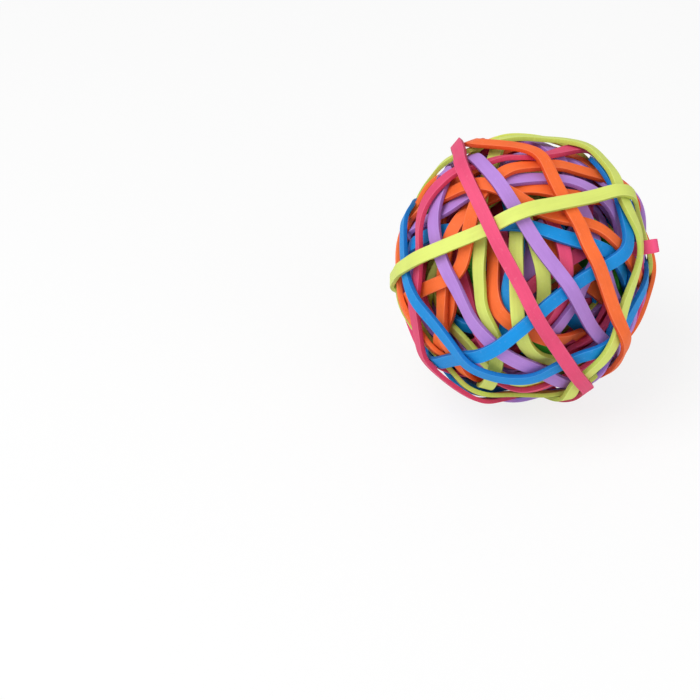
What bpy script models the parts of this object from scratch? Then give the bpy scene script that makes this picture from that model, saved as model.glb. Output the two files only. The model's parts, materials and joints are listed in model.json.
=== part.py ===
# Rubber band ball: a packed middle with flat rubber bands wound round it one
# after another. Every band is its own closed loop, stretched over the bands
# wound before it. Metres, Z up, the ball stands on its lowest band at Z = 0.

import math

import bmesh
import bpy
import numpy as np
from mathutils import Vector

# Sizes of the ball and of one band, in metres
BALL_RADIUS = 0.0315
CORE_RADIUS = 0.0155
CORE_SHIFT = (0.0010, 0.0004, -0.0022)
BAND_WIDTH = 0.0032
BAND_THICKNESS = 0.0009
CLEARANCE = 0.0003
SIDE_MARGIN = 0.0007

# How far a band may lean over sideways on its bed, in radians
MOST_ROLL = math.radians(25)

# The places in the table are read from this far in front of the ball, in this
# unit, with the line of sight coming down on the face at this angle
EYE_DISTANCE = 0.470
PLACE_UNIT = 0.001
FACE_LEAN = math.radians(35)

# The last bands wound lie pulled tight over the rest. Those under them are
# pressed down into every hollow longer than this many pieces of the loop.
TIGHT_BANDS = 8
PRESSED_STATIONS = 2

# Straight pieces in one loop, and points looked at along each piece
STATIONS = 40
SAMPLES = 5

# Where its way isn't read, a loop slips sideways into low ground: the number
# of turning points there, how far it may stray, how strongly it is drawn to
# low ground, how much it resists bending, and how sharply it turns
FREE_KNOTS = 6
MOST_WANDER = math.radians(35)
SLIP_SCALE = 0.0010
STIFFNESS = 0.002
CROWDING = 0.0006

# The unread part of the last bands keeps off the face, which ends where the
# share of a direction that points at the eye falls to this, softly
FACE_BANDS = 35
FACE_KEPT_CLEAR = 0.0012
FACE_EDGE = 0.2
FACE_EDGE_SOFTNESS = 0.3
WANDER_BLUR = math.radians(7)

# Rows of the map of the ball's relief, from pole to pole
RELIEF_ROWS = 90

# Rubber colours, as sRGB shares of red, green and blue
LIME = ("rubber_lime", (0.85, 0.90, 0.40))
ORANGE = ("rubber_orange", (1.00, 0.45, 0.20))
PINK = ("rubber_pink", (0.94, 0.31, 0.51))
BLUE = ("rubber_blue", (0.00, 0.59, 0.92))
PURPLE = ("rubber_purple", (0.69, 0.51, 0.84))
GREEN = ("rubber_green", (0.29, 0.75, 0.24))
CORE = ("rubber_core", (0.25, 0.10, 0.12))

# The bands in the order they were wound, innermost first. Each row gives the
# name, the colour and the places the band passes over on the face: how many
# millimetres right and up of the middle of the ball each place is seen.
WINDING = (
    ("green_deep_mid", GREEN, ((-7.5, 7), (-8, 1))),
    ("orange_deep_mid_right", ORANGE, ((5.5, -8), (12, -4))),
    ("orange_far_right", ORANGE, ((23, 1), (23, -7))),
    ("blue_far_right_in", BLUE, ((26, 2), (25, -6.5))),
    ("green_low_left", GREEN, ((-21, -17), (-17, -23), (-13.5, -24.5))),
    ("lime_low_left", LIME, ((-23, -6), (-22.5, -10.5), (-21.5, -15.5), (-20, -19.5))),
    ("pink_low_left_in", PINK, ((-13, -24.5), (-6.5, -27))),
    ("lime_low_right_in", LIME, ((13.5, -25.5), (18.5, -22.5))),
    ("blue_bottom_in", BLUE, ((-1.5, -28.5), (1, -31))),
    ("blue_top_in", BLUE, ((4, 31), (11.5, 24.5), (14.5, 21.5), (16, 18))),
    ("green_centre_in", GREEN, ((1.5, -4), (6.5, 0))),
    ("purple_centre_right", PURPLE, ((5.5, 2), (9.5, 4), (12.5, 3.5))),
    ("lime_centre_right", LIME, ((11.5, -4), (15.5, 0))),
    ("purple_centre", PURPLE, ((2.5, 6.5), (1.5, 2), (2, -5.5))),
    ("orange_upper_mid", ORANGE, ((0.5, 19.5), (6, 22))),
    ("orange_centre_right", ORANGE, ((7, 7.5), (13.5, 4), (17.5, -0.5))),
    ("pink_centre_right", PINK, ((1.5, -8.5), (5.5, -4.5), (11.5, 1.5), (17.5, 3.5))),
    ("blue_lower_mid", BLUE, ((17.5, -5), (12.5, -10.5), (8, -12))),
    ("lime_lower_right", LIME, ((7.5, -12.5), (4, -16.5), (1, -21))),
    ("pink_lower_right", PINK, ((7, -19), (9.5, -15.5), (13, -12))),
    ("purple_lower_right", PURPLE, ((19, -5), (14, -14.5), (11, -18), (5.5, -22.5))),
    ("green_left_in", GREEN, ((-18.5, 5), (-17, -0.5), (-15, -7.5))),
    ("pink_centre", PINK, ((-6.5, 1), (-6.5, -3), (-7, -8), (-6, -15.5))),
    ("blue_centre", BLUE, ((0, 4), (-3, 0.5), (-5, -5.5), (-4.5, -12.5), (-4, -15.5))),
    ("orange_centre_left", ORANGE, ((-13, 13), (-10, 5.5), (-9.5, -2), (-9, -8.5), (-8.5, -12))),
    ("pink_left_in", PINK, ((-23, -1), (-21.5, -5.5), (-18.5, -11.5), (-15, -17))),
    ("purple_bottom_left", PURPLE, ((-17, -24), (-10.5, -28), (-2.5, -28.5))),
    ("lime_bottom_in", LIME, ((-3.5, -27.5), (3, -30), (8, -30))),
    ("pink_top_in", PINK, ((-11, 25), (-3.5, 29), (0.5, 31), (3.5, 31))),
    ("lime_top_in", LIME, ((-5, 25), (1, 30), (7.5, 29))),
    ("lime_centre", LIME, (
        (-0.5, 23), (-1, 18.5), (-2, 9), (-2, 1.5), (-2, -5.5), (-2, -10.5), (-0.5, -19),
        (1, -22))),
    ("pink_limb_lower_left", PINK, (
        (-22.5, 22.5), (-30.5, -0.5), (-21.5, -21.5), (0.5, -30.5), (22.5, -22.5))),
    ("purple_limb_upper_left", PURPLE, (
        (-22.5, -22.5), (-30.5, 0.5), (-21.5, 21.5), (-0.5, 30.5), (22.5, 22.5))),
    ("green_far_right", GREEN, ((21, 15.5), (24, 9))),
    ("purple_far_left", PURPLE, ((-20, 20), (-25, 15.5), (-26, 11.5), (-28, 6.5), (-29, 2.5))),
    ("orange_upper_left_limb", ORANGE, ((-16.5, 23), (-23, 15.5))),
    ("purple_right", PURPLE, ((15.5, 21.5), (19, 14.5), (21, 6.5), (22, 3))),
    ("blue_upper_mid", BLUE, (
        (-15.5, 12), (-10.5, 13.5), (-1.5, 12), (4, 11), (10, 9), (19, 6.5), (23.5, 4.5))),
    ("orange_left", ORANGE, (
        (-14.5, 18), (-17.5, 14), (-20, 8.5), (-22, 4), (-23.5, -0.5), (-24.5, -5), (-23.5, -8))),
    ("lime_mid_left", LIME, (
        (-12, 14.5), (-12.5, 7.5), (-13.5, -0.5), (-12.5, -5.5), (-9.5, -13.5), (-7, -17),
        (-5.5, -23))),
    ("purple_upper_right", PURPLE, ((-0.5, 23), (7, 24.5), (12.5, 24), (19.5, 20))),
    ("blue_right_limb", BLUE, (
        (28.5, 13.5), (29.5, 9.5), (30.5, 1.5), (30.5, -4.5), (29, -8.5), (24.5, -15.5))),
    ("orange_upper", ORANGE, (
        (-8, 21), (-4, 24), (1.5, 26), (9, 27), (15.5, 25.5), (23, 21.5), (25.5, 19))),
    ("orange_branch", ORANGE, (
        (-8, 19.5), (-2.5, 18), (3, 16), (10, 14), (16, 12.5), (20, 11.5), (22.5, 9.5),
        (25.5, 5))),
    ("purple_left", PURPLE, (
        (-15.5, 23.5), (-19, 18.5), (-21.5, 13.5), (-22.5, 7.5), (-22, 1.5), (-19.5, -3.5),
        (-16, -8.5), (-14, -13.5), (-9, -18), (-5, -20.5), (0.5, -24), (7.5, -28), (11.5, -28.5))),
    ("lime_bottom", LIME, (
        (-18.5, -27.5), (-10.5, -31), (-5.5, -32), (-0.5, -32.5), (4, -32), (9, -30.5),
        (14, -28))),
    ("blue_cross", BLUE, (
        (27.5, 6), (24.5, 2), (16, -3.5), (11.5, -7.5), (4, -11.5), (0.5, -15), (-3, -17),
        (-7, -19.5), (-14, -22), (-20, -23.5))),
    ("pink_left", PINK, (
        (-14.5, 22), (-19.5, 18.5), (-22.5, 14), (-24.5, 9), (-26, 4), (-27, -3), (-28, -8),
        (-26.5, -15), (-24, -20.5), (-20, -25.5), (-14, -29), (-10, -30.5))),
    ("purple_top", PURPLE, (
        (-12.5, 26), (-8, 21.5), (-2.5, 15.5), (0.5, 11.5), (3.5, 6.5), (7.5, 1.5), (11, -3),
        (14, -8), (17, -13), (19, -18))),
    ("blue_arc", BLUE, (
        (-27, 13), (-29.5, 7), (-30, 0.5), (-27.5, -5.5), (-25, -11), (-20, -16), (-15.5, -20.5),
        (-11.5, -23), (-4.5, -26), (3, -26.5), (9, -24), (14, -22), (22, -19))),
    ("lime_right", LIME, (
        (-10, 28), (-6.5, 30), (1.5, 32), (6.5, 31.5), (11.5, 30), (16, 27), (20.5, 23),
        (23.5, 16.5), (26.5, 11.5), (29, 6.5), (29, -0.5), (27.5, -5.5), (25, -10.5),
        (24, -13.5))),
    ("orange_right", ORANGE, (
        (-13, 26), (-9, 28.5), (-0.5, 28.5), (6, 25.5), (8, 21), (13.5, 14.5), (16.5, 6.5),
        (19, 1.5), (21, -3), (22, -8), (22.5, -13), (23, -17.5), (23, -21))),
    ("lime_across", LIME, (
        (-31, -2), (-25, 2), (-20, 5), (-15.5, 7.5), (-10.5, 9), (-5.5, 11), (-0.5, 13.5),
        (4, 15), (9, 16), (14, 17), (18.5, 17.5), (23.5, 18), (30.5, 13))),
    ("pink_top", PINK, (
        (-14, 27), (-13, 21), (-10.5, 16), (-7.5, 9), (-5.5, 4), (-3, -0.5), (0, -5.5),
        (2, -10.5), (5, -15.5), (8.5, -20), (12.5, -25), (15.5, -28))),
)

FACE_RIGHT = np.array((1.0, 0.0, 0.0))
FACE_UP = np.array((0.0, math.sin(FACE_LEAN), math.cos(FACE_LEAN)))
FACE_OUT = np.array((0.0, -math.cos(FACE_LEAN), math.sin(FACE_LEAN)))


def unit(vectors):
    return vectors / np.linalg.norm(vectors, axis=-1, keepdims=True)


def place_on_ball(right_mm, up_mm):
    """Direction from the middle of the ball to a place read on its face."""
    slope = np.array((right_mm, up_mm)) * PLACE_UNIT / EYE_DISTANCE
    rim = 0.995 * BALL_RADIUS / math.sqrt(EYE_DISTANCE**2 - BALL_RADIUS**2)
    slope = slope * min(1.0, rim / np.linalg.norm(slope))
    sight = unit(slope[0] * FACE_RIGHT + slope[1] * FACE_UP - FACE_OUT)
    eye = EYE_DISTANCE * FACE_OUT
    along = -eye @ sight
    reach = along - math.sqrt(max(along**2 - EYE_DISTANCE**2 + BALL_RADIUS**2, 0.0))
    return unit(eye + reach * sight)


def core_top(directions):
    """How far out the packed middle reaches along each direction."""
    aside = directions @ np.array(CORE_SHIFT)
    return aside + np.sqrt(aside**2 - np.dot(CORE_SHIFT, CORE_SHIFT) + CORE_RADIUS**2)


class Loop:
    """One band: its way round the ball and, once wound, how high it lies."""

    def __init__(self, places):
        seen = np.array([place_on_ball(*place) for place in places])
        self.pole = np.linalg.svd(seen)[2][2]
        if len(places) == 2:
            self.pole = unit(np.cross(seen[0], seen[1]))
        flat = seen - np.outer(seen @ self.pole, self.pole)
        self.start = unit(flat[0])
        self.side = np.cross(self.pole, self.start)
        turns = np.unwrap(np.arctan2(flat @ self.side, flat @ self.start))
        wander = np.arcsin(seen @ self.pole)
        if turns[-1] < turns[0]:
            turns = turns[::-1]
            wander = wander[::-1]
        self.turn = np.arange(STATIONS * SAMPLES) * 2 * math.pi / (STATIONS * SAMPLES)
        self.read_turns = turns
        self.read_wander = wander
        free = 2 * math.pi - (turns[-1] - turns[0])
        count = FREE_KNOTS
        self.free_turns = turns[-1] + free * np.arange(1, count + 1) / (count + 1)
        self.free_wander = np.zeros(count)

    def settle(self, relief, crowd):
        """Lets the unread part of the loop slip sideways into low ground."""
        best = self.effort(self.free_wander, relief, crowd)
        for step in (0.16, 0.08, 0.04):
            for _ in range(4):
                for knot in range(len(self.free_wander)):
                    for shift in (-step, step):
                        trial = self.free_wander.copy()
                        trial[knot] = np.clip(trial[knot] + shift, -MOST_WANDER, MOST_WANDER)
                        effort = self.effort(trial, relief, crowd)
                        if effort < best:
                            best = effort
                            self.free_wander = trial
        self.take_way()

    def take_way(self):
        self.wander = self.spread(self.free_wander)
        self.centre = self.direction(self.turn, self.wander)
        ahead = np.roll(self.centre, -1, axis=0) - np.roll(self.centre, 1, axis=0)
        self.across = unit(np.cross(self.centre, ahead))
        slant = (np.roll(self.wander, -1) - np.roll(self.wander, 1)) / (2 * self.turn[1])
        self.narrow = np.cos(np.arctan(slant))

    def effort(self, free_wander, relief, crowd):
        """How high the ground is under this way round, and how much it bends."""
        wander = self.spread(free_wander)
        cells = relief.cells(self.direction(self.turn, wander))
        ground = relief.height[cells] + crowd[cells]
        bend = np.roll(wander, -1) + np.roll(wander, 1) - 2 * wander
        stiff = np.sum((bend / self.turn[1]) ** 2) / self.turn[1]
        return np.log(np.mean(np.exp(ground / SLIP_SCALE))) + STIFFNESS * stiff

    def spread(self, free_wander):
        """Sideways wander all round the loop, smoothed."""
        knots = np.concatenate((self.read_turns, self.free_turns))
        heights = np.concatenate((self.read_wander, free_wander))
        angle = (self.turn - knots[0]) % (2 * math.pi) + knots[0]
        rough = np.interp(
            angle,
            np.concatenate((knots, [knots[0] + 2 * math.pi])),
            np.concatenate((heights, [heights[0]])),
        )
        steps = np.arange(-12, 13)
        weights = np.exp(-0.5 * (steps * self.turn[1] / WANDER_BLUR) ** 2)
        weights = weights / weights.sum()
        padded = np.concatenate((rough[-12:], rough, rough[:12]))
        return np.convolve(padded, weights, mode="valid")

    def direction(self, turn, wander):
        level = np.outer(np.cos(turn), self.start) + np.outer(np.sin(turn), self.side)
        return np.cos(wander)[:, None] * level + np.outer(np.sin(wander), self.pole)

    def lane(self, offset, radius):
        """Directions along a line this far to one side of the middle."""
        return unit(self.centre * radius + self.across * offset)

    def place_of(self, directions):
        """How far round, and how far to one side, each direction lies."""
        turn = np.arctan2(directions @ self.side, directions @ self.start)
        turn = turn % (2 * math.pi)
        wander = np.interp(turn, self.turn, self.wander, period=2 * math.pi)
        narrow = np.interp(turn, self.turn, self.narrow, period=2 * math.pi)
        aside = np.arcsin(np.clip(directions @ self.pole, -1, 1)) - wander
        return turn, aside * narrow

    def read_part_covers(self, directions):
        turn, aside = self.place_of(directions)
        after = (turn - self.read_turns[0]) % (2 * math.pi)
        read = after < self.read_turns[-1] - self.read_turns[0]
        return read & (np.abs(aside) * BALL_RADIUS < BAND_WIDTH)

    def top_under(self, directions):
        """How far out this band reaches along each direction, or nought."""
        turn, aside = self.place_of(directions)
        left = np.interp(turn, self.turn, self.left_top, period=2 * math.pi)
        right = np.interp(turn, self.turn, self.right_top, period=2 * math.pi)
        offset = aside * (left + right) / 2
        share = np.clip(offset / BAND_WIDTH + 0.5, 0, 1)
        top = left + (right - left) * share
        return np.where(np.abs(offset) < BAND_WIDTH / 2 + SIDE_MARGIN, top, 0.0)

    def corners(self, side):
        """Station points along one edge of the inner face; side is -1 or 1."""
        offset = side * BAND_WIDTH / 2
        radius = self.left if side < 0 else self.right
        lane = np.sqrt(radius**2 - offset**2)
        middle = self.centre[::SAMPLES]
        return middle * lane[:, None] + self.across[::SAMPLES] * offset

    def lift_clear_of(self, unders):
        """Lifts the stations wherever the straight strip between two of them
        would still cut into a band or the core underneath."""
        along = (np.arange(SAMPLES) / SAMPLES)[None, :, None, None]
        across = np.linspace(0, 1, 5)[None, None, :, None]
        left = self.corners(-1)[:, None, None, :]
        right = self.corners(1)[:, None, None, :]
        left = left + (np.roll(left, -1, axis=0) - left) * along
        right = right + (np.roll(right, -1, axis=0) - right) * along
        points = (left + (right - left) * across).reshape(-1, 3)
        radius = np.linalg.norm(points, axis=1)
        directions = points / radius[:, None]
        bed = core_top(directions)
        for under in unders:
            bed = np.maximum(bed, under.top_under(directions))
        lack = np.maximum(bed + CLEARANCE - radius, 0.0)
        lack = lack.reshape(STATIONS, SAMPLES, 5).max(axis=2)
        share = np.arange(SAMPLES) / SAMPLES
        evened = share**2 + (1 - share) ** 2
        own = (lack * (1 - share) / evened).max(axis=1)
        following = (lack * share / evened).max(axis=1)
        lift = np.maximum(own, np.roll(following, 1))
        self.left = self.left + lift
        self.right = self.right + lift


class Relief:
    """Height of the ball so far, on a grid of directions."""

    def __init__(self):
        down = (np.arange(RELIEF_ROWS) + 0.5) * math.pi / RELIEF_ROWS
        around = np.arange(2 * RELIEF_ROWS) * math.pi / RELIEF_ROWS
        down, around = np.meshgrid(down, around, indexing="ij")
        level = np.sin(down)
        self.directions = np.stack(
            (level * np.cos(around), level * np.sin(around), np.cos(down)), axis=-1
        ).reshape(-1, 3)
        self.height = core_top(self.directions)

    def add(self, loop):
        self.height = np.maximum(self.height, loop.top_under(self.directions))

    def cells(self, directions):
        row = np.arccos(np.clip(directions[:, 2], -1, 1)) / math.pi * RELIEF_ROWS
        row = np.clip(row.astype(int), 0, RELIEF_ROWS - 1)
        around = np.arctan2(directions[:, 1], directions[:, 0]) / math.pi * RELIEF_ROWS
        column = np.rint(around).astype(int) % (2 * RELIEF_ROWS)
        return row * 2 * RELIEF_ROWS + column


def between(radii, gaps):
    """Distances out along the straight pieces that join the stations."""
    after = np.roll(radii, -1)
    share = np.arange(SAMPLES) / SAMPLES
    near = np.sin(np.outer(gaps, 1 - share)) / np.sin(gaps)[:, None]
    far = np.sin(np.outer(gaps, share)) / np.sin(gaps)[:, None]
    return 1.0 / (near / radii[:, None] + far / after[:, None])


def pulled_tight(radii, gaps):
    """The shortest loop that passes outside every one of these points."""
    count = len(radii)
    first = int(np.argmax(radii))
    order = np.arange(first, first + count + 1) % count
    angle = np.concatenate(([0.0], np.cumsum(gaps[order[:-1]])))
    inverse = 1.0 / radii[order]
    kept = [0]
    for new in range(1, count + 1):
        while len(kept) > 1:
            old, mid = kept[-2], kept[-1]
            whole = angle[new] - angle[old]
            if whole > 0.9 * math.pi:
                break
            line = inverse[old] * math.sin(angle[new] - angle[mid])
            line = line + inverse[new] * math.sin(angle[mid] - angle[old])
            if inverse[mid] < line / math.sin(whole):
                break
            kept.pop()
        kept.append(new)
    tight = inverse.copy()
    for old, new in zip(kept, kept[1:]):
        whole = angle[new] - angle[old]
        inner = np.arange(old + 1, new)
        line = inverse[old] * np.sin(angle[new] - angle[inner])
        line = line + inverse[new] * np.sin(angle[inner] - angle[old])
        tight[inner] = line / math.sin(whole)
    result = np.empty(count)
    result[order[:-1]] = 1.0 / tight[:-1]
    return result


def pressed_down(radii, gaps, span):
    """A loop that bridges hollows only up to this many pieces long, because
    the bands over it press it down into the longer ones."""
    lying = radii.copy()
    for back in range(1, span):
        for on in range(1, span - back + 1):
            before = sum(np.roll(gaps, step) for step in range(1, back + 1))
            after = sum(np.roll(gaps, -step) for step in range(on))
            line = np.sin(after) / np.roll(radii, back)
            line = line + np.sin(before) / np.roll(radii, -on)
            lying = np.maximum(lying, np.sin(before + after) / line)
    return lying


def laid_on(bed, gaps, span):
    """Radii of a loop whose straight pieces all clear the bed. A short span
    is a band pressed into its bed, a long one a band pulled tight over it."""
    share = np.arange(SAMPLES) / SAMPLES
    evened = share**2 + (1 - share) ** 2

    def drawn(radii):
        if span < STATIONS // 2:
            return pressed_down(radii, gaps, span)
        return pulled_tight(radii, gaps)

    highest = bed.max(axis=1) / np.cos(gaps / 2)
    enough = np.maximum(highest, np.roll(highest, 1))
    radii = drawn(bed[:, 0])
    for _ in range(6):
        lack = np.maximum(bed - between(radii, gaps), 0.0)
        own = (lack * (1 - share) / evened).max(axis=1)
        following = (lack * share / evened).max(axis=1)
        lifted = radii + np.maximum(own, np.roll(following, 1))
        radii = drawn(np.minimum(lifted, np.maximum(enough, radii)))
    return radii


def wind(loops):
    """Lays each loop over those before it, from the middle of the ball out."""
    offsets = np.linspace(-BAND_WIDTH / 2, BAND_WIDTH / 2, 7)
    relief = Relief()
    crowd = np.zeros(len(relief.directions))
    for loop in loops:
        loop.take_way()
        crowd += CROWDING * loop.read_part_covers(relief.directions)
    toward = relief.directions @ FACE_OUT
    facing = np.clip((toward - FACE_EDGE) / FACE_EDGE_SOFTNESS, 0, 1)
    for count, loop in enumerate(loops):
        if count == len(loops) - FACE_BANDS:
            crowd += FACE_KEPT_CLEAR * facing
        crowd -= CROWDING * loop.read_part_covers(relief.directions)
        loop.settle(relief, crowd)
        beds = []
        level = relief.height[relief.cells(loop.centre)]
        for offset in offsets:
            directions = loop.lane(offset, level[:, None])
            bed = core_top(directions)
            for under in loops[:count]:
                bed = np.maximum(bed, under.top_under(directions))
            beds.append((bed + CLEARANCE).reshape(STATIONS, SAMPLES))
        beds = np.array(beds)
        stations = loop.centre[::SAMPLES]
        gaps = np.arccos(np.sum(stations * np.roll(stations, -1, axis=0), axis=1))
        left = laid_on(beds[:4].max(axis=0), gaps, loop.span)
        right = laid_on(beds[3:].max(axis=0), gaps, loop.span)
        most = BAND_WIDTH * math.tan(MOST_ROLL)
        left = np.maximum(left, right - most)
        right = np.maximum(right, left - most)
        loop.left = left
        loop.right = right
        for _ in range(4):
            loop.lift_clear_of(loops[:count])
        left = loop.left
        right = loop.right
        for name, radii in (("left_top", left), ("right_top", right)):
            lying = between(radii, gaps).ravel()
            rise = (np.roll(lying, -1) - np.roll(lying, 1)) / (4 * math.pi / len(lying))
            setattr(loop, name, lying + BAND_THICKNESS * np.hypot(1, rise / lying))
        relief.add(loop)


def material_named(colour):
    name, srgb = colour
    found = bpy.data.materials.get(name)
    if found is not None:
        return found
    made = bpy.data.materials.new(name)
    made.use_nodes = True
    linear = [((c + 0.055) / 1.055) ** 2.4 if c > 0.04045 else c / 12.92 for c in srgb]
    surface = made.node_tree.nodes["Principled BSDF"]
    surface.inputs["Base Color"].default_value = (*linear, 1.0)
    surface.inputs["Roughness"].default_value = 0.55
    surface.inputs["Metallic"].default_value = 0.0
    made.diffuse_color = (*linear, 1.0)
    return made


def add_object(name, shape, colour, collection):
    mesh = bpy.data.meshes.new(name)
    shape.to_mesh(mesh)
    shape.free()
    mesh.polygons.foreach_set("use_smooth", [True] * len(mesh.polygons))
    mesh.materials.append(material_named(colour))
    made = bpy.data.objects.new(name, mesh)
    collection.objects.link(made)
    return made


def add_band(name, colour, loop, collection):
    """A short open cylinder drawn onto the loop's way, then thickened."""
    shape = bmesh.new()
    bmesh.ops.create_cone(
        shape,
        cap_ends=False,
        segments=STATIONS,
        radius1=BALL_RADIUS,
        radius2=BALL_RADIUS,
        depth=BAND_WIDTH,
    )
    left = loop.corners(-1)
    right = loop.corners(1)
    for vertex in shape.verts:
        angle = math.atan2(vertex.co.y, vertex.co.x) % (2 * math.pi)
        station = round(angle / (2 * math.pi) * STATIONS) % STATIONS
        vertex.co = Vector(right[station] if vertex.co.z > 0 else left[station])
    band = add_object(name, shape, colour, collection)
    thicken = band.modifiers.new("Thickness", "SOLIDIFY")
    thicken.thickness = BAND_THICKNESS
    thicken.offset = 1.0
    thicken.use_even_offset = True
    return band


def stand_on_floor(objects):
    """Moves the ball so that its lowest point is at Z = 0 and the middle of
    its outline, seen from above, is on the Z axis."""
    graph = bpy.context.evaluated_depsgraph_get()
    corners = []
    for part in objects:
        solid = part.evaluated_get(graph).to_mesh()
        corners.extend(vertex.co.copy() for vertex in solid.vertices)
        part.evaluated_get(graph).to_mesh_clear()
    corners = np.array(corners)
    low = corners.min(axis=0)
    high = corners.max(axis=0)
    for part in objects:
        part.location = (-(low[0] + high[0]) / 2, -(low[1] + high[1]) / 2, -low[2])


def main():
    for old in list(bpy.data.objects):
        bpy.data.objects.remove(old, do_unlink=True)
    collection = bpy.data.collections.new("rubber_band_ball")
    bpy.context.scene.collection.children.link(collection)

    loops = [Loop(places) for _, _, places in WINDING]
    for count, loop in enumerate(loops):
        tight = count >= len(loops) - TIGHT_BANDS
        loop.span = STATIONS if tight else PRESSED_STATIONS
    wind(loops)

    middle = bmesh.new()
    bmesh.ops.create_icosphere(middle, subdivisions=3, radius=CORE_RADIUS)
    bmesh.ops.translate(middle, verts=middle.verts, vec=CORE_SHIFT)
    add_object("packed_core", middle, CORE, collection)
    for (name, colour, _), loop in zip(WINDING, loops):
        add_band("band_" + name, colour, loop, collection)
    stand_on_floor(collection.objects)


main()
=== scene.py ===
"""A ball wound from flat coloured rubber bands, dressed over its solid model.

Laid out as an add-on: sizes and colours are properties, each group of bands is an operator,
and the panel in the 3D view's sidebar lists them all.
"""

import json
import math
import random

import bmesh
import bpy
import numpy as np
from mathutils import Matrix, Vector

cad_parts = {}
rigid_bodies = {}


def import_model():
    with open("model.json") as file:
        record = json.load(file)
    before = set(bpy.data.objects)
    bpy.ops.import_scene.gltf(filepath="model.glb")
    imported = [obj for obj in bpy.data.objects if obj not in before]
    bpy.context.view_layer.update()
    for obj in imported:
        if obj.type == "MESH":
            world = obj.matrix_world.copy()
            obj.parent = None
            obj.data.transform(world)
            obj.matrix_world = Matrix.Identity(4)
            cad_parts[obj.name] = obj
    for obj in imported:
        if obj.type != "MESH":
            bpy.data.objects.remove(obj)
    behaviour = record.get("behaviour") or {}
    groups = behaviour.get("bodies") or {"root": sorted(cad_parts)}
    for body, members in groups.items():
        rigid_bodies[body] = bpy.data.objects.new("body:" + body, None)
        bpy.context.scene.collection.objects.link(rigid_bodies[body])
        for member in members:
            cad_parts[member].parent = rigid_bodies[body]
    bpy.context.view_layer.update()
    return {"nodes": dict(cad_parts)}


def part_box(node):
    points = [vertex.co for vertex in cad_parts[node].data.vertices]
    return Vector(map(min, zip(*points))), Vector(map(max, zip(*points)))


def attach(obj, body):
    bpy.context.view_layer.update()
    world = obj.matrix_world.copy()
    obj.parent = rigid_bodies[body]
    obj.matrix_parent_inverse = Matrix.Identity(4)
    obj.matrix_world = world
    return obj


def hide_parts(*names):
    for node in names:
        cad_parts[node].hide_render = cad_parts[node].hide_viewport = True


bl_info = {
    "name": "Rubber Band Ball",
    "version": (1, 0, 0),
    "blender": (4, 5, 0),
    "location": "3D View > Sidebar > Band Ball",
    "description": "Winds smooth rubber bands along the loops of a band ball and lights it",
    "category": "Object",
}

for startup in list(bpy.data.objects):
    bpy.data.objects.remove(startup)
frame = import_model()

# The place of the ball's centre beside the centre of its packed core
CORE_SHIFT = Vector((0.0010, 0.0004, -0.0022))
CORE_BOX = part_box("packed_core")
HUB = (CORE_BOX[0] + CORE_BOX[1]) / 2 - CORE_SHIFT

# How a loop is carried over from its solid: points this close are one, each loop has this many
# stations, and its smooth way has this many steps from one station to the next
LEAST_MERGE = 1e-6
STATIONS = 40
FINE_STEPS = 8

# The photograph's frame and the place of the ball's centre in it, in pixels
FRAME_SIDE = 700
CENTRE_SPOT = (523, 267)

RUBBERS = ("lime", "orange", "pink", "blue", "purple", "green")
TONE_SEED = 7

# The points between the corners on a band's flat faces, as shares of half its width
FACE_SHARES = (0.8, 0.0, -0.8)

# How a band's section swells along its way: waves round the loop, how much its tone shifts them
# and their height, as a share of the section
SWELLS = ((3, 9, 0.025), (7, 20, 0.015))

# The patterns of the rubber, in noise cells to the metre; the last three run along the band
CLOUDS = 210.0
GRAIN = 5200.0
FLECKS = 1500.0
FINE_LINES = (90.0, 90.0, 3400.0)
STREAKS = (70.0, 70.0, 1100.0)
CUT_MARKS = (3600.0, 3600.0, 300.0)

# The side of the ball that the photograph shows looks this way
FACE_LEAN = math.radians(35.0)
FACE_RIGHT = np.array((1.0, 0.0, 0.0))
FACE_UP = np.array((0.0, math.sin(FACE_LEAN), math.cos(FACE_LEAN)))
FACE_OUT = np.array((0.0, -math.cos(FACE_LEAN), math.sin(FACE_LEAN)))

# The bedded bands that run close to the ball's outline: colour, the way their plane leans
# round the face and how far it leans, in degrees
OUTLINE_BEDS = (
    ("lime", 180.0, 8.0),
    ("pink", 140.0, 9.0),
    ("orange", 225.0, 12.0),
    ("blue", 275.0, 7.0),
    ("pink", 310.0, 14.0),
    ("pink", 350.0, 5.0),
    ("orange", 45.0, 10.0),
    ("blue", 90.0, 15.0),
    ("purple", 250.0, 15.0),
    ("purple", 10.0, 15.0),
    ("lime", 205.0, 3.0),
    ("pink", 60.0, 3.0),
    ("blue", 330.0, 2.0),
    ("purple", 120.0, 1.0),
    ("lime", 290.0, 4.0),
    ("purple", 20.0, 0.0),
)

# The bedded bands under the rest of the ball, by colour
CROSSING_BEDS = (
    "lime", "orange", "pink", "blue", "purple", "green", "lime", "orange", "pink", "purple",
    "blue", "lime", "orange", "pink", "purple", "lime",
)
BED_SEED = 12
CROSSING_TRIES = 8

# The folded end of a pink band that stands out at the right of the face: its place seen on the
# face, how far it leans to the front, how far out its tip stands and how long it is, in metres,
# and how its width leans
FOLD_SPOT = (0.0300, 0.0048)
FOLD_RISE = 0.0105
FOLD_TIP = 0.0337
FOLD_LENGTH = 0.0095
FOLD_GAP = 0.0003
FOLD_LEAN = math.radians(18.0)
FOLD_POINTS = 96
FOLD_TONE = 0.6

# How a bedded band finds its way: it looks for free room at these distances from the ball's
# middle, in this many directions round its loop, and may change by one level from one direction
# to the next; it keeps this far off other bands and this far below the outermost ones
LEVELS = np.arange(0.0175, 0.0330, 0.0003)
MOVES = np.array((-1, 0, 1))
BED_POINTS = 240
BED_SOFTNESS = 4.0
BED_GAP = 0.0001
BED_DEPTH = 0.0012

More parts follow.
